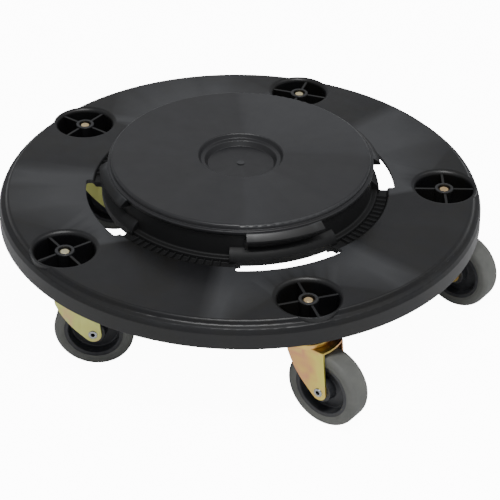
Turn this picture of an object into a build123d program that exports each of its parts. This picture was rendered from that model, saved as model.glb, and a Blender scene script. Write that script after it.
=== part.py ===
from build123d import *
import os
from math import cos, radians, sin

# Round twist-lock dolly for a waste container: one moulded deck on five swivel stem casters.
# Millimetres. The origin is on the floor, on the deck's axis. +Z is up, +X points at the first caster.

# How far a cutting tool runs past a face
CLEAR = 5.0

# Deck: one injection moulding
DECK_RADIUS = 232.0
SKIRT_BOTTOM = 97.0
DECK_TOP = 122.5
WALL = 4.0
STEP_RADIUS = 223.0
STEP_FOOT_RADIUS = 225.4
STEP_HEIGHT = 4.2
LEDGE_RADIUS = 229.4
LEDGE_DROP = 5.8
SHOULDER_DROP = 10.5
SKIRT_DRAFT = 0.5

# Hub: the raised disc that the container's base drops over
HUB_RADIUS = 124.0
HUB_TOP = 155.0
BEAD_RADIUS = 127.0
BEAD_TOP = 150.2
BEAD_HEIGHT = 3.6
NECK_RADIUS = 124.6
FOOT_RADIUS = 131.5
FOOT_TOP = 123.6
CHANNEL_RADIUS = 141.5
CHANNEL_FLOOR = 119.6
RECESS_RADIUS = 40.6
RECESS_LEDGE = 150.8
RECESS_FLOOR_RADIUS = 31.6
RECESS_FLOOR = 145.6

# Twist lock: four lugs over four slots, with a row of ratchet teeth between each two
LOCK_COUNT = 4
LOCK_ANGLE = -70.7
SLOT_SPAN = 41.0
SLOT_INNER = 133.2
SLOT_OUTER = 148.6
SLOT_LIP = 117.0
NECK_FLARE_TOP = 132.5
NECK_FLARE_SPAN = 46.0
LUG_SPAN = 32.5
LUG_RADIUS = 134.6
LUG_BOTTOM = 141.6
LUG_TOP = 149.0
TEETH = 13
TOOTH_PITCH = 3.08
TOOTH_WIDTH = 2.4
TOOTH_HEIGHT = 2.2
TOOTH_TAPER = 14

# Caster wells
CASTERS = 5
FIRST_WELL = 0.4
WELL_PITCH_RADIUS = 196.6
WELL_RADIUS = 27.5
WELL_RIM = 5.0
WELL_WALL = 2.8
WELL_FLOOR = 99.5
RIB = 2.3
RIB_TOP = 119.6
BOSS_RADIUS = 9.2
BOSS_MOUTH = 6.1
BOSS_TOP = 120.6
BOSS_BOTTOM = 88.0
COLUMN_RADIUS = 13.0
FLANGE_RADIUS = 23.0
FLANGE_TOP = 91.0

# Ribs under the deck and under the hub
UNDER_RIBS = 20
UNDER_RIB_BOTTOM = 103.0
UNDER_RIB_MIDDLE = 186.0
UNDER_RIB_LENGTH = 68.0
RIM_RIB_MIDDLE = 223.5
RIM_RIB_LENGTH = 12.0
RIM_RIB_TOP = 109.0
RIB_RING = 169.0
HUB_RIBS = 10
HUB_RIB_RING = 80.0
HUB_RIB_BOTTOM = 130.0
HUB_RIB_LENGTH = 88.0

# Casters: rest heading of each fork, in degrees from +X, in the order of the wells
HEADINGS = (-37.0, 118.0, -7.0, -3.5, -37.4)
TRAIL = 25.0
WHEEL_RADIUS = 37.5
WHEEL_WIDTH = 23.0
TREAD_INNER = 27.6
TREAD_ROUND = 4.5
CORE_WIDTH = 21.0
HUB_WIDTH = 25.0
HUB_BARREL = 11.0
WEB = 3.6
BORE = 5.04
BUSH_RADIUS = 5.0
AXLE_RADIUS = 3.25
AXLE_HOLE = 2.1
AXLE_HEAD = 4.3
HEAD_THICKNESS = 0.9

# Fork: pressed from one sheet
SHEET = 2.0
FORK_GAP = 26.2
CROWN_RADIUS = 21.0
CROWN_REAR = 28.4
CROWN_BULGE = 2.5
CROWN_FRONT = -10.0
FOLD = 1.6
CROWN_BOTTOM = 80.0
CROWN_HOLE = 9.0
LEG_TIP = 8.0
CREASE = 14.0
FLARE_END = -14.0
FLARE = 3.2

# Swivel bearing and stem
UPPER_BALLS = 14
UPPER_BALL_RADIUS = 2.38
UPPER_BALL_PITCH = 16.6
LOWER_BALLS = 10
LOWER_BALL_RADIUS = 1.59
LOWER_BALL_PITCH = 11.4
GROOVE_DEPTH = 0.8
BALL_PLAY = 0.04
RACE_SHEET = 1.6
UPPER_RACE_RADIUS = 23.2
LOWER_RACE_RADIUS = 14.0
KINGPIN_RADIUS = 4.5
STEM_RADIUS = 5.55
STEM_TOP = 119.4
SHOULDER_RADIUS = 9.0
GRIP_BOTTOM = 111.0
GRIP_HEIGHT = 3.0
GRIP_RADIUS = 6.05
GRIP_NECK = 4.6

under_deck = DECK_TOP - WALL
tooth_radius = (FOOT_RADIUS + CHANNEL_RADIUS) / 2
first_rib = FIRST_WELL + 180 / UNDER_RIBS
crown_top = CROWN_BOTTOM + SHEET
upper_ball_height = crown_top + UPPER_BALL_RADIUS - GROOVE_DEPTH
upper_race_bottom = upper_ball_height + UPPER_BALL_RADIUS + BALL_PLAY - GROOVE_DEPTH
upper_race_top = upper_race_bottom + RACE_SHEET
lower_ball_height = CROWN_BOTTOM - LOWER_BALL_RADIUS + GROOVE_DEPTH / 2
lower_race_top = lower_ball_height - LOWER_BALL_RADIUS - BALL_PLAY + GROOVE_DEPTH / 2
lower_race_bottom = lower_race_top - RACE_SHEET
leg_inner = FORK_GAP / 2
leg_outer = leg_inner + SHEET
lock_angles = [LOCK_ANGLE + 360 / LOCK_COUNT * k for k in range(LOCK_COUNT)]
well_angles = [FIRST_WELL + 360 / CASTERS * k for k in range(CASTERS)]
os.makedirs("parts", exist_ok=True)


def section(corners):
    """Closed outline from (radius, height, rounding) corners."""
    with BuildSketch() as outline:
        with BuildLine():
            Polyline([(r, z) for r, z, _ in corners], close=True)
        make_face()
        for r, z, rounding in corners:
            if rounding:
                fillet(outline.vertices().sort_by_distance((r, z))[0], rounding)
    return outline.sketch


def ring_sector(inner, outer, angle, span, rounding=0):
    """Part of a flat ring, centred on an angle."""
    with BuildSketch() as sector:
        with BuildLine(Rot(0, 0, angle)):
            low = CenterArc((0, 0), inner, -span / 2, span)
            high = CenterArc((0, 0), outer, -span / 2, span)
            Line(low @ 0, high @ 0)
            Line(low @ 1, high @ 1)
        make_face()
        if rounding:
            fillet(sector.vertices(), rounding)
    return sector.sketch


# Hollow of one caster well, about its own axis, with a soft flared mouth
with BuildPart() as well_hollow:
    with BuildSketch(Plane.XZ):
        with BuildLine():
            floor = Line((0, WELL_FLOOR), (WELL_RADIUS - 1.2, WELL_FLOOR))
            wall = Line(floor @ 1, (WELL_RADIUS, DECK_TOP - WELL_RIM))
            mouth = RadiusArc(wall @ 1, (WELL_RADIUS + WELL_RIM, DECK_TOP), WELL_RIM)
            above = DECK_TOP + CLEAR
            Polyline(mouth @ 1, (WELL_RADIUS + WELL_RIM, above), (0, above), floor @ 0)
        make_face()
    revolve(axis=Axis.Z)

# Cup around one well, standing at deck level where it passes the deck's edge
with BuildPart() as well_cup:
    with BuildSketch(Plane.XY.offset(WELL_FLOOR - WALL)):
        Circle(WELL_RADIUS + WELL_WALL)
    extrude(amount=DECK_TOP - WELL_RIM - WELL_FLOOR + WALL)
    with BuildSketch(Plane.XY.offset(DECK_TOP - STEP_HEIGHT - 2.0)):
        Circle(WELL_RADIUS + WELL_RIM - 0.6)
    extrude(amount=STEP_HEIGHT + 2.0)
    fillet(well_cup.edges().group_by(Axis.Z)[-1], 1.2)

# Boss, its four ribs, and the column and flange that the caster bears on
with BuildPart() as well_boss:
    with BuildSketch(Plane.XY.offset(WELL_FLOOR - 1.0)):
        Rectangle(2 * WELL_RADIUS + 1.0, RIB)
        Rectangle(RIB, 2 * WELL_RADIUS + 1.0)
    extrude(amount=RIB_TOP - WELL_FLOOR + 1.0)
    with BuildSketch(Plane.XZ):
        add(section([
            (0, BOSS_BOTTOM, 0),
            (FLANGE_RADIUS, BOSS_BOTTOM, 0.6),
            (FLANGE_RADIUS, FLANGE_TOP, 0.8),
            (COLUMN_RADIUS, FLANGE_TOP + 1.5, 1.0),
            (COLUMN_RADIUS, WELL_FLOOR + 1.5, 1.0),
            (BOSS_RADIUS, WELL_FLOOR + 3.0, 1.0),
            (BOSS_RADIUS, BOSS_TOP, 0.8),
            (0, BOSS_TOP, 0),
        ]))
    revolve(axis=Axis.Z)

# Socket for one caster stem, with the groove that the grip ring snaps into
with BuildPart() as socket:
    with BuildSketch(Plane.XY.offset(BOSS_BOTTOM - 1.0)):
        Circle(STEM_RADIUS)
    extrude(amount=BOSS_TOP - BOSS_BOTTOM + 2.0)
    with BuildSketch(Plane.XY.offset(GRIP_BOTTOM)):
        Circle(GRIP_RADIUS)
    extrude(amount=GRIP_HEIGHT)
    with BuildSketch(Plane.XY.offset(GRIP_BOTTOM + GRIP_HEIGHT + 2.0)):
        Circle(BOSS_MOUTH)
    extrude(amount=CLEAR)

# Flared foot of the neck beside one slot. It reaches into the material around it on every side.
with BuildPart() as neck_flare:
    with BuildSketch(Plane.XZ.rotated((0, 0, -NECK_FLARE_SPAN / 2))):
        with BuildLine():
            top = (NECK_RADIUS + 0.4, NECK_FLARE_TOP)
            flare = RadiusArc((SLOT_INNER + 0.4, DECK_TOP - 1.2), top, -13.5)
            Polyline(
                top,
                (NECK_RADIUS - 2.0, NECK_FLARE_TOP),
                (NECK_RADIUS - 2.0, under_deck - 1.5),
                (SLOT_INNER + 0.4, under_deck - 1.5),
                flare @ 0,
            )
        make_face()
    revolve(axis=Axis.Z, revolution_arc=NECK_FLARE_SPAN)

# Lug: a tab that slopes out from the bead to a blunt edge
with BuildPart() as lug:
    with BuildSketch(Plane.XZ.rotated((0, 0, -LUG_SPAN / 2))):
        add(section([
            (NECK_RADIUS - 2.0, LUG_BOTTOM, 0),
            (LUG_RADIUS, LUG_BOTTOM, 0.5),
            (LUG_RADIUS, LUG_BOTTOM + 2.2, 1.2),
            (BEAD_RADIUS + 1.2, LUG_TOP - 0.6, 1.5),
            (NECK_RADIUS - 2.0, LUG_TOP, 0),
        ]))
    revolve(axis=Axis.Z, revolution_arc=LUG_SPAN)

# Deck, hub and skirt, with everything moulded on them
with BuildPart() as deck:
    with BuildSketch(Plane.XZ):
        add(section([
            (0, RECESS_FLOOR, 0),
            (RECESS_FLOOR_RADIUS, RECESS_FLOOR, 0.8),
            (RECESS_FLOOR_RADIUS + 3.0, RECESS_LEDGE - 0.6, 1.0),
            (RECESS_RADIUS - 2.4, RECESS_LEDGE, 1.2),
            (RECESS_RADIUS, HUB_TOP, 1.6),
            (HUB_RADIUS, HUB_TOP, 2.6),
            (HUB_RADIUS + 0.4, BEAD_TOP, 0.6),
            (BEAD_RADIUS, BEAD_TOP - 0.5, 1.1),
            (BEAD_RADIUS, BEAD_TOP - BEAD_HEIGHT, 1.1),
            (NECK_RADIUS, BEAD_TOP - BEAD_HEIGHT - 1.8, 0.8),
            (NECK_RADIUS + 1.6, FOOT_TOP, 1.5),
            (FOOT_RADIUS, FOOT_TOP, 1.2),
            (FOOT_RADIUS + 0.3, CHANNEL_FLOOR, 0.4),
            (CHANNEL_RADIUS - 0.8, CHANNEL_FLOOR, 0.6),
            (CHANNEL_RADIUS + 1.0, DECK_TOP, 2.0),
            (STEP_RADIUS, DECK_TOP, 3.0),
            (STEP_FOOT_RADIUS, DECK_TOP - STEP_HEIGHT, 2.0),
            (LEDGE_RADIUS, DECK_TOP - LEDGE_DROP, 2.4),
            (DECK_RADIUS - SKIRT_DRAFT, DECK_TOP - SHOULDER_DROP, 2.4),
            (DECK_RADIUS, SKIRT_BOTTOM, 0.8),
            (DECK_RADIUS - WALL, SKIRT_BOTTOM, 0.8),
            (DECK_RADIUS - WALL - 1.0, under_deck - SHOULDER_DROP + 1.0, 2.0),
            (STEP_RADIUS - 3.0, under_deck - 2.0, 1.5),
            (STEP_RADIUS - 6.0, under_deck, 1.5),
            (CHANNEL_RADIUS + 1.0, under_deck, 1.0),
            (CHANNEL_RADIUS - 2.0, under_deck - WALL, 1.0),
            (FOOT_RADIUS - 4.0, under_deck - WALL, 1.0),
            (NECK_RADIUS - WALL, under_deck, 1.0),
            (NECK_RADIUS - WALL - 0.6, HUB_TOP - WALL, 1.5),
            (RECESS_RADIUS + 5.4, HUB_TOP - WALL, 1.5),
            (RECESS_RADIUS + 0.9, RECESS_FLOOR - WALL, 1.0),
            (0, RECESS_FLOOR - WALL, 0),
        ]))
    revolve(axis=Axis.Z)
    # moulding gate in the middle of the recess
    with BuildSketch(Plane.XY.offset(RECESS_FLOOR - 0.5)):
        Circle(3.6)
    extrude(amount=1.2)
    # lugs under the bead, and a stop rib under one end of each
    with PolarLocations(0, LOCK_COUNT, start_angle=LOCK_ANGLE):
        add(lug.part)
    with BuildSketch(Plane.XY.offset(DECK_TOP - 1.0)):
        for angle in lock_angles:
            add(ring_sector(NECK_RADIUS - 1.0, NECK_RADIUS + 3.2, angle - LUG_SPAN / 2, 1.4))
    extrude(amount=LUG_BOTTOM - DECK_TOP + 1.0)
    # ratchet teeth in the channel, between each slot and the next
    with BuildSketch(Plane.XY.offset(CHANNEL_FLOOR - 0.5)):
        for angle in lock_angles:
            first_tooth = angle + 180 / LOCK_COUNT - (TEETH - 1) / 2 * TOOTH_PITCH
            with PolarLocations(tooth_radius, TEETH, first_tooth, TEETH * TOOTH_PITCH):
                Rectangle(CHANNEL_RADIUS - FOOT_RADIUS, TOOTH_WIDTH)
    extrude(amount=TOOTH_HEIGHT + 0.5, taper=TOOTH_TAPER)
    # ribs and rings under the deck and under the hub
    with BuildSketch(Plane.XY.offset(UNDER_RIB_BOTTOM)):
        with PolarLocations(UNDER_RIB_MIDDLE, UNDER_RIBS, start_angle=first_rib):
            Rectangle(UNDER_RIB_LENGTH, RIB)
        Circle(RIB_RING)
        Circle(RIB_RING - RIB, mode=Mode.SUBTRACT)
    extrude(amount=under_deck - UNDER_RIB_BOTTOM + 0.5)
    with BuildSketch(Plane.XY.offset(UNDER_RIB_BOTTOM)):
        with PolarLocations(RIM_RIB_MIDDLE, UNDER_RIBS, start_angle=first_rib):
            Rectangle(RIM_RIB_LENGTH, RIB)
    extrude(amount=RIM_RIB_TOP - UNDER_RIB_BOTTOM)
    with BuildSketch(Plane.XY.offset(HUB_RIB_BOTTOM)):
        with PolarLocations(HUB_RIB_RING, HUB_RIBS, start_angle=FIRST_WELL):
            Rectangle(HUB_RIB_LENGTH, RIB)
        Circle(HUB_RIB_RING)
        Circle(HUB_RIB_RING - RIB, mode=Mode.SUBTRACT)
    extrude(amount=HUB_TOP - WALL - HUB_RIB_BOTTOM + 0.5)
    # wells
    with PolarLocations(WELL_PITCH_RADIUS, CASTERS, start_angle=FIRST_WELL):
        add(well_cup.part)
        add(well_hollow.part, mode=Mode.SUBTRACT)
        add(well_boss.part)
        add(socket.part, mode=Mode.SUBTRACT)
    # the neck flares out to the inner edge of each slot
    with PolarLocations(0, LOCK_COUNT, start_angle=LOCK_ANGLE):
        add(neck_flare.part)
    # slots through the deck
    with BuildSketch(Plane.XY.offset(UNDER_RIB_BOTTOM - CLEAR)):
        for angle in lock_angles:
            add(ring_sector(SLOT_INNER, SLOT_OUTER, angle, SLOT_SPAN, 3.0))
    extrude(amount=DECK_TOP - UNDER_RIB_BOTTOM + 2 * CLEAR, mode=Mode.SUBTRACT)
    # thin lip over each slot's inner edge
    with BuildSketch(Plane.XY.offset(UNDER_RIB_BOTTOM - CLEAR)):
        for angle in lock_angles:
            add(ring_sector(NECK_RADIUS + 1.2, SLOT_INNER + 2.0, angle, SLOT_SPAN - 4.0, 3.0))
    extrude(amount=SLOT_LIP - UNDER_RIB_BOTTOM + CLEAR, mode=Mode.SUBTRACT)
deck.part.label = "deck"
export_step(deck.part, "parts/deck.step")

# One caster, about its swivel axis, trailing along +X. Stem, pressed into the boss and riveted below.
with BuildPart() as stem:
    with BuildSketch(Plane.XZ):
        add(section([
            (0, lower_race_bottom - 1.2, 0),
            (KINGPIN_RADIUS + 1.6, lower_race_bottom - 1.2, 0.6),
            (KINGPIN_RADIUS + 2.0, lower_race_bottom, 0),
            (KINGPIN_RADIUS, lower_race_bottom, 0),
            (KINGPIN_RADIUS, upper_race_top, 0),
            (SHOULDER_RADIUS, upper_race_top, 0),
            (SHOULDER_RADIUS, BOSS_BOTTOM, 0.3),
            (STEM_RADIUS, BOSS_BOTTOM, 0),
            (STEM_RADIUS, GRIP_BOTTOM, 0),
            (GRIP_NECK, GRIP_BOTTOM, 0),
            (GRIP_NECK, GRIP_BOTTOM + GRIP_HEIGHT, 0),
            (STEM_RADIUS, GRIP_BOTTOM + GRIP_HEIGHT, 0),
            (STEM_RADIUS, STEM_TOP - 2.0, 1.0),
            (STEM_RADIUS - 1.6, STEM_TOP, 0.8),
            (0, STEM_TOP, 0),
        ]))
    revolve(axis=Axis.Z)

# Split spring ring in the stem's neck
with BuildPart() as grip_ring:
    with BuildSketch(Plane.XY.offset(GRIP_BOTTOM + 0.2)):
        Circle(GRIP_RADIUS)
        Circle(GRIP_NECK, mode=Mode.SUBTRACT)
        with Locations((-GRIP_RADIUS, 0)):
            Rectangle(4.0, 1.6, mode=Mode.SUBTRACT)
    extrude(amount=GRIP_HEIGHT - 0.4)
    fillet(grip_ring.edges().filter_by(GeomType.CIRCLE).group_by(SortBy.RADIUS)[-1], 0.4)


def race_groove(pitch_radius, ball_height, ball_radius):
    """Section of the groove that a row of balls runs in."""
    with BuildSketch(Plane.XZ) as groove:
        with Locations((pitch_radius, ball_height)):
            Circle(ball_radius)
    return groove.sketch


# Upper race: a pressed cap over the large balls, clamped under the boss
with BuildPart() as upper_race:
    with BuildSketch(Plane.XZ):
        add(section([
            (KINGPIN_RADIUS, upper_race_bottom, 0),
            (UPPER_RACE_RADIUS - RACE_SHEET, upper_race_bottom, 0.5),
            (UPPER_RACE_RADIUS - RACE_SHEET, crown_top + 0.7, 0),
            (UPPER_RACE_RADIUS, crown_top + 0.7, 0),
            (UPPER_RACE_RADIUS, upper_race_top, 1.2),
            (KINGPIN_RADIUS, upper_race_top, 0),
        ]))
    revolve(axis=Axis.Z)
    add(race_groove(UPPER_BALL_PITCH, upper_ball_height, UPPER_BALL_RADIUS + BALL_PLAY))
    revolve(axis=Axis.Z, mode=Mode.SUBTRACT)

with BuildPart() as upper_balls:
    with PolarLocations(UPPER_BALL_PITCH, UPPER_BALLS):
        with Locations((0, 0, upper_ball_height)):
            Sphere(UPPER_BALL_RADIUS)

# Fork: a round crown with a leg each side, creased so that its front half flares outwards
with BuildPart() as leg_side:
    with BuildSketch(Plane.XZ):
        with BuildLine():
            tip = CenterArc((TRAIL, WHEEL_RADIUS), LEG_TIP, -128, 133)
            rear = Line(tip @ 1, (CROWN_REAR, crown_top))
            front = ThreePointArc(tip @ 0, (3.0, 49.6), (-8.6, 72.0))
            Polyline(front @ 1, (CROWN_FRONT, crown_top), rear @ 1)
        make_face()
    extrude(amount=40.0, both=True)

with BuildPart() as leg_plan:
    with BuildSketch(Plane.XY.offset(WHEEL_RADIUS - 10.0)):
        with BuildLine():
            inner = Polyline((40.0, leg_inner), (CREASE, leg_inner), (FLARE_END, leg_inner + FLARE))
            outer = Polyline((40.0, leg_outer), (CREASE, leg_outer), (FLARE_END, leg_outer + FLARE))
            Line(inner @ 0, outer @ 0)
            Line(inner @ 1, outer @ 1)
        make_face()
        mirror(about=Plane.XZ)
    extrude(amount=crown_top - WHEEL_RADIUS + 10.0)

front_half_width = leg_outer + FLARE * (CREASE - CROWN_FRONT) / (CREASE - FLARE_END)


def is_fold(edge):
    """True for the outer fold of a leg, where its straight part meets the crown."""
    return abs(edge.center().Z - crown_top) < 0.01 and abs(abs(edge.center().Y) - leg_outer) < 0.01


with BuildPart() as fork:
    with BuildSketch(Plane.XY.offset(CROWN_BOTTOM)):
        with BuildLine():
            front_edge = (CROWN_FRONT, front_half_width)
            side = Polyline((CROWN_FRONT, 0), front_edge, (CREASE, leg_outer), (CROWN_REAR, leg_outer))
            bulge = (CROWN_REAR + CROWN_BULGE, 0)
            ThreePointArc(side @ 1, (CROWN_REAR + CROWN_BULGE * 0.75, leg_outer / 2), bulge)
            Line(bulge, side @ 0)
        make_face()
        mirror(about=Plane.XZ)
        Circle(CROWN_RADIUS)
        Circle(CROWN_HOLE, mode=Mode.SUBTRACT)
    extrude(amount=SHEET)
    add(leg_plan.part & leg_side.part)
    fillet(fork.edges().filter_by(is_fold), FOLD)
    with Locations((TRAIL, 0, WHEEL_RADIUS)):
        with Locations(Rot(90, 0, 0)):
            Cylinder(AXLE_RADIUS, 60.0, mode=Mode.SUBTRACT)
    add(race_groove(UPPER_BALL_PITCH, upper_ball_height, UPPER_BALL_RADIUS))
    revolve(axis=Axis.Z, mode=Mode.SUBTRACT)
    add(race_groove(LOWER_BALL_PITCH, lower_ball_height, LOWER_BALL_RADIUS))
    revolve(axis=Axis.Z, mode=Mode.SUBTRACT)

with BuildPart() as lower_balls:
    with PolarLocations(LOWER_BALL_PITCH, LOWER_BALLS):
        with Locations((0, 0, lower_ball_height)):
            Sphere(LOWER_BALL_RADIUS)

# Lower race: a washer held by the riveted end of the stem
with BuildPart() as lower_race:
    with BuildSketch(Plane.XZ):
        add(section([
            (KINGPIN_RADIUS, lower_race_bottom, 0),
            (LOWER_RACE_RADIUS, lower_race_bottom, 0.5),
            (LOWER_RACE_RADIUS, lower_race_top, 0.3),
            (KINGPIN_RADIUS, lower_race_top, 0),
        ]))
    revolve(axis=Axis.Z)
    add(race_groove(LOWER_BALL_PITCH, lower_ball_height, LOWER_BALL_RADIUS + BALL_PLAY))
    revolve(axis=Axis.Z, mode=Mode.SUBTRACT)

axle_centre = (TRAIL, 0, WHEEL_RADIUS)


def turned(corners):
    """Solid turned about the axle from (radius, offset along the axle, rounding) corners."""
    with BuildPart() as solid:
        with BuildSketch(Plane.XY.move(Location(axle_centre))):
            add(section(corners))
        revolve(axis=Axis(axle_centre, (0, 1, 0)))
    return solid


head = leg_outer + HEAD_THICKNESS
axle = turned([
    (AXLE_HOLE, -head, 0),
    (AXLE_HEAD, -head, 0.5),
    (AXLE_HEAD, -leg_outer, 0),
    (AXLE_RADIUS, -leg_outer, 0),
    (AXLE_RADIUS, leg_outer, 0),
    (AXLE_HEAD, leg_outer, 0),
    (AXLE_HEAD, head, 0.5),
    (AXLE_HOLE, head, 0),
])
axle_bush = turned([
    (AXLE_RADIUS, -leg_inner, 0),
    (BUSH_RADIUS, -leg_inner, 0),
    (BUSH_RADIUS, leg_inner, 0),
    (AXLE_RADIUS, leg_inner, 0),
])
wheel_core = turned([
    (BORE, -HUB_WIDTH / 2, 0),
    (HUB_BARREL, -HUB_WIDTH / 2, 0.8),
    (HUB_BARREL + 0.8, -WEB, 1.2),
    (TREAD_INNER - 5.0, -WEB / 2, 1.2),
    (TREAD_INNER - 3.6, -CORE_WIDTH / 2, 0.8),
    (TREAD_INNER, -CORE_WIDTH / 2, 0),
    (TREAD_INNER, CORE_WIDTH / 2, 0),
    (TREAD_INNER - 3.6, CORE_WIDTH / 2, 0.8),
    (TREAD_INNER - 5.0, WEB / 2, 1.2),
    (HUB_BARREL + 0.8, WEB, 1.2),
    (HUB_BARREL, HUB_WIDTH / 2, 0.8),
    (BORE, HUB_WIDTH / 2, 0),
])
tread = turned([
    (TREAD_INNER, -CORE_WIDTH / 2 - 0.3, 0.2),
    (TREAD_INNER + 2.5, -WHEEL_WIDTH / 2, 1.0),
    (WHEEL_RADIUS, -WHEEL_WIDTH / 2, TREAD_ROUND),
    (WHEEL_RADIUS, WHEEL_WIDTH / 2, TREAD_ROUND),
    (TREAD_INNER + 2.5, WHEEL_WIDTH / 2, 1.0),
    (TREAD_INNER, CORE_WIDTH / 2 + 0.3, 0.2),
])

# Five casters, each turned to its own heading
caster_pieces = {
    "stem": stem,
    "grip_ring": grip_ring,
    "upper_race": upper_race,
    "upper_balls": upper_balls,
    "fork": fork,
    "lower_balls": lower_balls,
    "lower_race": lower_race,
    "axle": axle,
    "axle_bush": axle_bush,
    "wheel_core": wheel_core,
    "tread": tread,
}
for number, (well, heading) in enumerate(zip(well_angles, HEADINGS), start=1):
    x = WELL_PITCH_RADIUS * cos(radians(well))
    y = WELL_PITCH_RADIUS * sin(radians(well))
    for name, pattern in caster_pieces.items():
        with BuildPart() as piece:
            with Locations(Location((x, y, 0), (0, 0, heading))):
                add(pattern.part)
        piece.part.label = f"{name}_{number}"
        export_step(piece.part, f"parts/{name}_{number}.step")
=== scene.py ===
import math

import bpy
from mathutils import Matrix, Vector

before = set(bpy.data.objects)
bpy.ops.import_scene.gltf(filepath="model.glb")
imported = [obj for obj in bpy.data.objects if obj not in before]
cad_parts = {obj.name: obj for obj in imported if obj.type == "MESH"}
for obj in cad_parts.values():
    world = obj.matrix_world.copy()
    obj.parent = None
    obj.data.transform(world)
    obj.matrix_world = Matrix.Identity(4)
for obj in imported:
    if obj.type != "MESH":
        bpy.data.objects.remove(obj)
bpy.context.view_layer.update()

MM = 0.001
CASTERS = range(1, 6)
LIME_FORKS = (3, 4)


# --- camera, floor and lights ------------------------------------------------------------------

# The camera looks from the front, a little from above, to a point inside the deck.
AIM = Vector((10.2, 0.0, 45.58)) * MM
DISTANCE = 1728.73 * MM
ELEVATION = math.radians(33.84)
ROLL = math.radians(0.91)
LENS = 125.96
SENSOR_WIDTH = 36.0
CLIP_DISTANCES = (0.05, 50.0)

# The studio: sky, paper and softboxes. A softbox has a place, a width, a height and a power in watts.
SKY_TINT = "#f4f6fa"
SKY_STRENGTH = 0.41
PAPER_HALF_WIDTH = 6
PAPER_GLOW = 12.0
SOFTBOX_TARGET = (0, 0, 0.1)
SOFTBOXES = {
    "key_left": ((-1.5, 0.3, 2.0), 1.2, 0.9, 1.5),
    "key_front": ((0.15, -0.85, 1.95), 1.0, 0.2, 24),
    "fill_right": ((1.5, 0.1, 2.0), 1.2, 0.9, 4.0),
    "fill_front": ((0.1, -2.3, 0.25), 2.2, 0.3, 1.0),
    "back_sheen": ((-0.3, 2.2, 1.5), 1.6, 0.5, 1.2),
}


def look_at(thing, place, target):
    """Turns a camera or lamp so that it looks from a place to a target."""
    thing.location = place
    thing.rotation_euler = (target - place).to_track_quat("-Z", "Y").to_euler()


def make_camera():
    """A long lens on the near side, rolled a little."""
    camera = bpy.data.objects.new("camera", bpy.data.cameras.new("camera"))
    bpy.context.scene.collection.objects.link(camera)
    camera.data.lens = LENS
    camera.data.sensor_width = SENSOR_WIDTH
    away = Vector((0, -math.cos(ELEVATION), math.sin(ELEVATION)))
    look_at(camera, AIM + away * DISTANCE, AIM)
    rolled = camera.rotation_euler.to_matrix() @ Matrix.Rotation(ROLL, 3, "Z")
    camera.rotation_euler = rolled.to_euler()
    camera.data.clip_start, camera.data.clip_end = CLIP_DISTANCES
    bpy.context.scene.camera = camera


def softbox(name, place, width, height, power):
    """A large rectangular studio light that faces the object."""
    lamp = bpy.data.lights.new(name, "AREA")
    lamp.shape = "RECTANGLE"
    lamp.size, lamp.size_y = width, height
    lamp.energy = power
    thing = bpy.data.objects.new(name, lamp)
    bpy.context.scene.collection.objects.link(thing)
    look_at(thing, Vector(place), Vector(SOFTBOX_TARGET))


def make_studio():
    """A pale sky, the softboxes and the paper that the object stands on."""
    world = bpy.data.worlds.new("studio")
    bpy.context.scene.world = world
    world.use_nodes = True
    background = world.node_tree.nodes["Background"]
    background.inputs["Color"].default_value = colour(SKY_TINT)
    background.inputs["Strength"].default_value = SKY_STRENGTH
    for name, settings in SOFTBOXES.items():
        softbox(name, *settings)
    mesh = bpy.data.meshes.new("floor")
    half = PAPER_HALF_WIDTH
    corners = [(-half, -half, 0), (half, -half, 0), (half, half, 0), (-half, half, 0)]
    mesh.from_pydata(corners, [], [(0, 1, 2, 3)])
    floor = bpy.data.objects.new("floor", mesh)
    bpy.context.scene.collection.objects.link(floor)
    mesh.materials.append(white_paper())


# --- material helpers --------------------------------------------------------------------------

def colour(code):
    """Linear colour of an sRGB hex value."""
    values = [int(code[k:k + 2], 16) / 255 for k in (1, 3, 5)]
    return tuple(v / 12.92 if v <= 0.04045 else ((v + 0.055) / 1.055) ** 2.4 for v in values) + (1.0,)


def node(tree, kind, settings=None, **inputs):
    """Adds a node with its settings, and its inputs by name. An output socket links, anything else is a
    value. An input given as "_3" is the fourth input."""
    made = tree.nodes.new(kind)
    for name, value in (settings or {}).items():
        setattr(made, name, value)
    for name, value in inputs.items():
        key = int(name[1:]) if name[0] == "_" else name.replace("_", " ")
        if isinstance(value, bpy.types.NodeSocket):
            tree.links.new(value, made.inputs[key])
        else:
            made.inputs[key].default_value = value
    return made


def ramp(tree, factor, stops):
    """Colour ramp over (place, hex colour) stops."""
    made = node(tree, "ShaderNodeValToRGB", Fac=factor)
    elements = made.color_ramp.elements
    while len(elements) < len(stops):
        elements.new(0.5)
    for element, (place, code) in zip(elements, stops):
        element.position, element.color = place, colour(code)
    return made.outputs["Color"]


def surface(name, **constants):
    """New material with a Principled surface. Returns it with its tree, shader and object position."""
    made = bpy.data.materials.new(name)
    made.use_nodes = True
    tree = made.node_tree
    shader = tree.nodes["Principled BSDF"]
    for key, value in constants.items():
        shader.inputs[key.replace("_", " ")].default_value = value
    place = tree.nodes.new("ShaderNodeTexCoord").outputs["Object"]
    return made, tree, shader, place


def noise(tree, place, size_mm, detail=2.0, rough=0.5, stretch=(1, 1, 1)):
    """Noise whose blobs are about size_mm across."""
    mapped = node(tree, "ShaderNodeMapping", Vector=place, Scale=stretch).outputs[0]
    scale = 1 / (size_mm * MM)
    made = node(tree, "ShaderNodeTexNoise", Vector=mapped, Scale=scale, Detail=detail, Roughness=rough)
    return made.outputs["Fac"]


def spread(tree, value, low, high, to_low, to_high):
    """Stretches a value from one range to another, clamped."""
    keys = {"_1": low, "_2": high, "_3": to_low, "_4": to_high}
    return node(tree, "ShaderNodeMapRange", Value=value, **keys).outputs[0]


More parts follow.
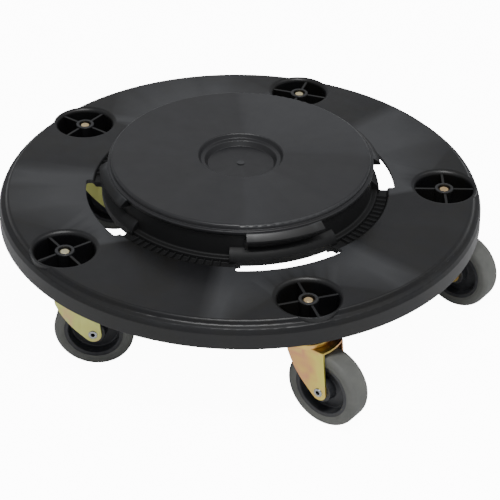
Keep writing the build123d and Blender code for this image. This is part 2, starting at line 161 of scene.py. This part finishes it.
def zone(tree, distance, outside, inside):
    """1 where a height or a radius has passed inside, 0 short of outside, both in mm, with a soft edge."""
    return spread(tree, distance, outside * MM, inside * MM, 0.0, 1.0)


def maths(tree, operation, first, second):
    """One arithmetic step on two values."""
    return node(tree, "ShaderNodeMath", {"operation": operation}, _0=first, _1=second).outputs[0]


def bumps(tree, shader, *layers):
    """Stacks (height, strength, depth in mm) layers onto the shader's normal."""
    normal = None
    for height, strength, depth in layers:
        made = node(tree, "ShaderNodeBump", Height=height, Strength=strength, Distance=depth * MM)
        if normal:
            tree.links.new(normal, made.inputs["Normal"])
        normal = made.outputs["Normal"]
    tree.links.new(normal, shader.inputs["Normal"])


def blend_colours(tree, factor, first, second):
    """Goes from the first colour to the second as the factor goes from 0 to 1."""
    return node(tree, "ShaderNodeMix", {"data_type": "RGBA"}, _0=factor, _6=first, _7=second).outputs[2]


def around_the_axis(tree, place):
    """The vector out from the object's upright axis, the distance from that axis, and the height."""
    parts = node(tree, "ShaderNodeSeparateXYZ", Vector=place).outputs
    outward = node(tree, "ShaderNodeCombineXYZ", X=parts["X"], Y=parts["Y"]).outputs[0]
    reach = node(tree, "ShaderNodeVectorMath", {"operation": "LENGTH"}, _0=outward).outputs["Value"]
    return outward, reach, parts["Z"]


def radial_streaks(tree, outward, reach, width_degrees, length_mm):
    """Noise drawn out along lines from the object's middle, as plastic flows from a gate in the middle."""
    ray = node(tree, "ShaderNodeVectorMath", {"operation": "NORMALIZE"}, _0=outward).outputs[0]
    stretch = 1 / math.radians(width_degrees)
    ray = node(tree, "ShaderNodeVectorMath", {"operation": "SCALE"}, _0=ray, Scale=stretch).outputs[0]
    along = maths(tree, "MULTIPLY", reach, 1 / (length_mm * MM))
    lifted = node(tree, "ShaderNodeCombineXYZ", Z=along).outputs[0]
    spot = node(tree, "ShaderNodeVectorMath", {"operation": "ADD"}, _0=ray, _1=lifted).outputs[0]
    made = node(tree, "ShaderNodeTexNoise", Vector=spot, Scale=1.0, Detail=2.5, Roughness=0.5)
    return made.outputs["Fac"]


# --- materials ---------------------------------------------------------------------------------

# Where the deck's colour and roughness change, in mm, each from outside the zone to inside it: the hub's
# face and the recess take a painted sheen, the channel round the neck a painted shade.
HUB_FACE_HEIGHT = (147.2, 149.0)
RECESS_RADIUS = (42.0, 40.0)
CHANNEL_INNER_RADIUS = (100.0, 105.0)
CHANNEL_OUTER_RADIUS = (143.5, 140.5)
CHANNEL_TOP_HEIGHT = (147.5, 144.5)

# How strongly each mark covers the deck's plain skin: the painted sheen on the hub's face and recess, the
# flow streaks, the edge wear with its painted highlight and the painted shade in the channel; and how much
# duller the channel is.
# Strength of the painted sheen on the hub's face and in the recess.
PAINTED_SHEEN_SHARE = 0.7
STREAK_SHARE = 0.16
# Strength of the paler convex edges: partly wear, partly a painted highlight.
WEAR_AND_HIGHLIGHT_SHARE = 0.7
# Next: the strength of the painted shade in the channel zone, then how much rougher that zone is.
PAINTED_SHADE_SHARE = 0.85
SHADE_ZONE_DULLNESS = 0.22


def white_paper():
    """Matt white paper under the object. It glows for the camera alone, so it shows as a clean white and
    doesn't light the object."""
    made, tree, shader, place = surface("white_paper", Roughness=0.9, Specular_IOR_Level=0.2)
    tone = ramp(tree, noise(tree, place, 400), [(0, "#fbfbfb"), (1, "#ffffff")])
    tree.links.new(tone, shader.inputs["Base Color"])
    tree.links.new(tone, shader.inputs["Emission Color"])
    seen = tree.nodes.new("ShaderNodeLightPath").outputs["Is Camera Ray"]
    tree.links.new(spread(tree, seen, 0, 1, 0, PAPER_GLOW), shader.inputs["Emission Strength"])
    return made


def black_polyethylene():
    """Moulded black polyethylene: satin, with flow marks that run out from the gate, clouds and grain. The
    hub's face and the recess are painted paler as a painted sheen. The edges are paler, partly wear and
    partly a painted highlight. The channel round the neck, with the neck and the lugs' undersides, is
    painted near black as painted shade, and is duller."""
    made, tree, shader, place = surface("black_polyethylene", IOR=1.5)
    outward, reach, height = around_the_axis(tree, place)
    cloud = noise(tree, place, 60, detail=4, rough=0.6)
    flow = radial_streaks(tree, outward, reach, 15, 120)
    # The hub's face and the recess are painted paler: a painted sheen standing in for the light they catch.
    hub_face = zone(tree, height, *HUB_FACE_HEIGHT)
    recess = zone(tree, reach, *RECESS_RADIUS)
    painted_sheen_zone = maths(tree, "MAXIMUM", hub_face, recess)
    # The channel zone: the channel round the neck, the neck and the lugs' undersides, where painted shade
    # goes.
    low = zone(tree, height, *CHANNEL_TOP_HEIGHT)
    past_inner = zone(tree, reach, *CHANNEL_INNER_RADIUS)
    short_of_outer = zone(tree, reach, *CHANNEL_OUTER_RADIUS)
    channel = maths(tree, "MULTIPLY", short_of_outer, maths(tree, "MULTIPLY", low, past_inner))
    clouds = [(0.3, "#0f0f11"), (0.45, "#121214"), (0.55, "#131210"), (0.72, "#181a1d")]
    tone = ramp(tree, cloud, clouds)
    # Painted sheen: the hub's face and the recess are blended towards a paler grey.
    tone = blend_colours(tree, maths(tree, "MULTIPLY", painted_sheen_zone, PAINTED_SHEEN_SHARE), tone, colour("#2c2c2e"))
    streaks = spread(tree, flow, 0.45, 0.75, 0.0, STREAK_SHARE)
    tone = blend_colours(tree, streaks, tone, colour("#2a2b2e"))
    # Convex edges are blended paler: partly wear, partly a painted highlight where the edges catch light.
    edge = node(tree, "ShaderNodeNewGeometry").outputs["Pointiness"]
    edge_wear_and_highlight = spread(tree, edge, 0.512, 0.56, 0.0, WEAR_AND_HIGHLIGHT_SHARE)
    tone = blend_colours(tree, edge_wear_and_highlight, tone, colour("#444547"))
    # Painted shade: the channel zone is blended towards near black.
    tone = blend_colours(tree, maths(tree, "MULTIPLY", channel, PAINTED_SHADE_SHARE), tone, colour("#060607"))
    tree.links.new(tone, shader.inputs["Base Color"])
    patches = maths(tree, "ADD", flow, noise(tree, place, 14, detail=3))
    satin = spread(tree, patches, 0.7, 1.3, 0.42, 0.36)
    dullness = maths(tree, "MULTIPLY", channel, SHADE_ZONE_DULLNESS)
    tree.links.new(maths(tree, "ADD", satin, dullness), shader.inputs["Roughness"])
    grain = noise(tree, place, 0.9, detail=1)
    bumps(tree, shader, (cloud, 0.12, 1.0), (flow, 0.05, 0.8), (grain, 0.25, 0.06))
    return made


def yellow_zinc(name, film_colours):
    """Zinc plate with a yellow passivation: a thin film that drifts between colours like oil on water."""
    made, tree, shader, place = surface(name, Metallic=1.0)
    film = noise(tree, place, 34, detail=2, rough=0.5)
    first_stop, last_stop = 0.32, 0.68
    step = (last_stop - first_stop) / (len(film_colours) - 1)
    stops = [(first_stop + step * k, code) for k, code in enumerate(film_colours)]
    tree.links.new(ramp(tree, film, stops), shader.inputs["Base Color"])
    rolled = noise(tree, place, 3.0, detail=3, stretch=(1, 1, 0.25))
    tree.links.new(spread(tree, rolled, 0.3, 0.7, 0.3, 0.46), shader.inputs["Roughness"])
    bumps(tree, shader, (film, 0.15, 0.5), (rolled, 0.12, 0.05))
    return made


def bright_zinc():
    """Bright zinc plate on turned and riveted steel: cool silver with a fine spangle."""
    made, tree, shader, place = surface("bright_zinc", Metallic=1.0)
    spangle = noise(tree, place, 1.6, detail=2)
    tree.links.new(ramp(tree, spangle, [(0.3, "#a9adb1"), (0.7, "#cfd2d4")]), shader.inputs["Base Color"])
    tree.links.new(spread(tree, spangle, 0.3, 0.7, 0.22, 0.36), shader.inputs["Roughness"])
    bumps(tree, shader, (spangle, 0.1, 0.03))
    return made


def oiled_steel():
    """Spring steel left with its oil: dark, with a brownish cast."""
    made, tree, shader, place = surface("oiled_steel", Metallic=1.0, Coat_Weight=0.3, Coat_Roughness=0.1)
    film = noise(tree, place, 2.0, detail=2)
    tree.links.new(ramp(tree, film, [(0.3, "#5b5751"), (0.7, "#7c766c")]), shader.inputs["Base Color"])
    tree.links.new(spread(tree, film, 0.3, 0.7, 0.25, 0.4), shader.inputs["Roughness"])
    bumps(tree, shader, (film, 0.1, 0.02))
    return made


def greased_steel():
    """Polished bearing balls under a smear of grease."""
    made, tree, shader, place = surface("greased_steel", Metallic=1.0, Coat_Weight=0.5, Coat_Roughness=0.15)
    smear = noise(tree, place, 2.4, detail=2)
    tree.links.new(ramp(tree, smear, [(0.35, "#b4b6b8"), (0.6, "#9a8f78")]), shader.inputs["Base Color"])
    tree.links.new(spread(tree, smear, 0.35, 0.6, 0.06, 0.25), shader.inputs["Roughness"])
    bumps(tree, shader, (smear, 0.1, 0.05))
    return made


def black_polypropylene():
    """Moulded black polypropylene of the wheel core: smooth, a little glossy, greyed by patches of dust."""
    made, tree, shader, place = surface("black_polypropylene", IOR=1.49)
    dust = noise(tree, place, 9, detail=4, rough=0.6)
    tone = ramp(tree, dust, [(0.35, "#303134"), (0.6, "#3a3b3e"), (0.8, "#454442")])
    tree.links.new(tone, shader.inputs["Base Color"])
    tree.links.new(spread(tree, dust, 0.3, 0.7, 0.3, 0.5), shader.inputs["Roughness"])
    bumps(tree, shader, (noise(tree, place, 0.7, detail=1), 0.2, 0.05))
    return made


def grey_tread_rubber():
    """Grey thermoplastic rubber: matt, faintly mottled, with a fine moulded skin."""
    made, tree, shader, place = surface("grey_tread_rubber", IOR=1.5)
    mottle = noise(tree, place, 14, detail=4, rough=0.6)
    tone = ramp(tree, mottle, [(0.3, "#646561"), (0.5, "#6b6c68"), (0.7, "#73746f")])
    tree.links.new(tone, shader.inputs["Base Color"])
    tree.links.new(spread(tree, mottle, 0.3, 0.7, 0.55, 0.7), shader.inputs["Roughness"])
    bumps(tree, shader, (mottle, 0.15, 0.3), (noise(tree, place, 0.6, detail=1), 0.25, 0.05))
    return made


# --- finishes ----------------------------------------------------------------------------------

def set_material(piece, made):
    """Gives a piece its one finish."""
    piece.data.materials.clear()
    piece.data.materials.append(made)


make_camera()
make_studio()
rose_zinc = yellow_zinc("rose_gold_zinc", ["#f4ea78", "#fbe57e", "#f8d07c", "#efb184", "#f6d684"])
lime_zinc = yellow_zinc("lime_gold_zinc", ["#cad67c", "#e2e48e", "#dcdc86", "#e4c892", "#d4de90"])
# A paler copy of the yellow zinc for the stems, whose domed tips show pale: a painted highlight.
pale_highlight_zinc = yellow_zinc("pale_gold_zinc_painted_highlight", ["#f3ecc8", "#f7e4b4", "#f3d2a0"])
silver = bright_zinc()
plastic = black_polypropylene()
rubber = grey_tread_rubber()
spring = oiled_steel()
polished = greased_steel()
deck_plastic = black_polyethylene()
finishes = {
    # The stems take the paler zinc, a painted highlight.
    "stem": pale_highlight_zinc,
    "grip_ring": spring,
    "upper_race": rose_zinc,
    "upper_balls": polished,
    "fork": rose_zinc,
    "lower_balls": polished,
    "lower_race": rose_zinc,
    "axle": silver,
    "axle_bush": silver,
    "wheel_core": plastic,
    "tread": rubber,
}
set_material(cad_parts["deck"], deck_plastic)
for number in CASTERS:
    for kind, made in finishes.items():
        set_material(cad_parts[f"{kind}_{number}"], made)
for number in LIME_FORKS:
    set_material(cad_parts[f"fork_{number}"], lime_zinc)
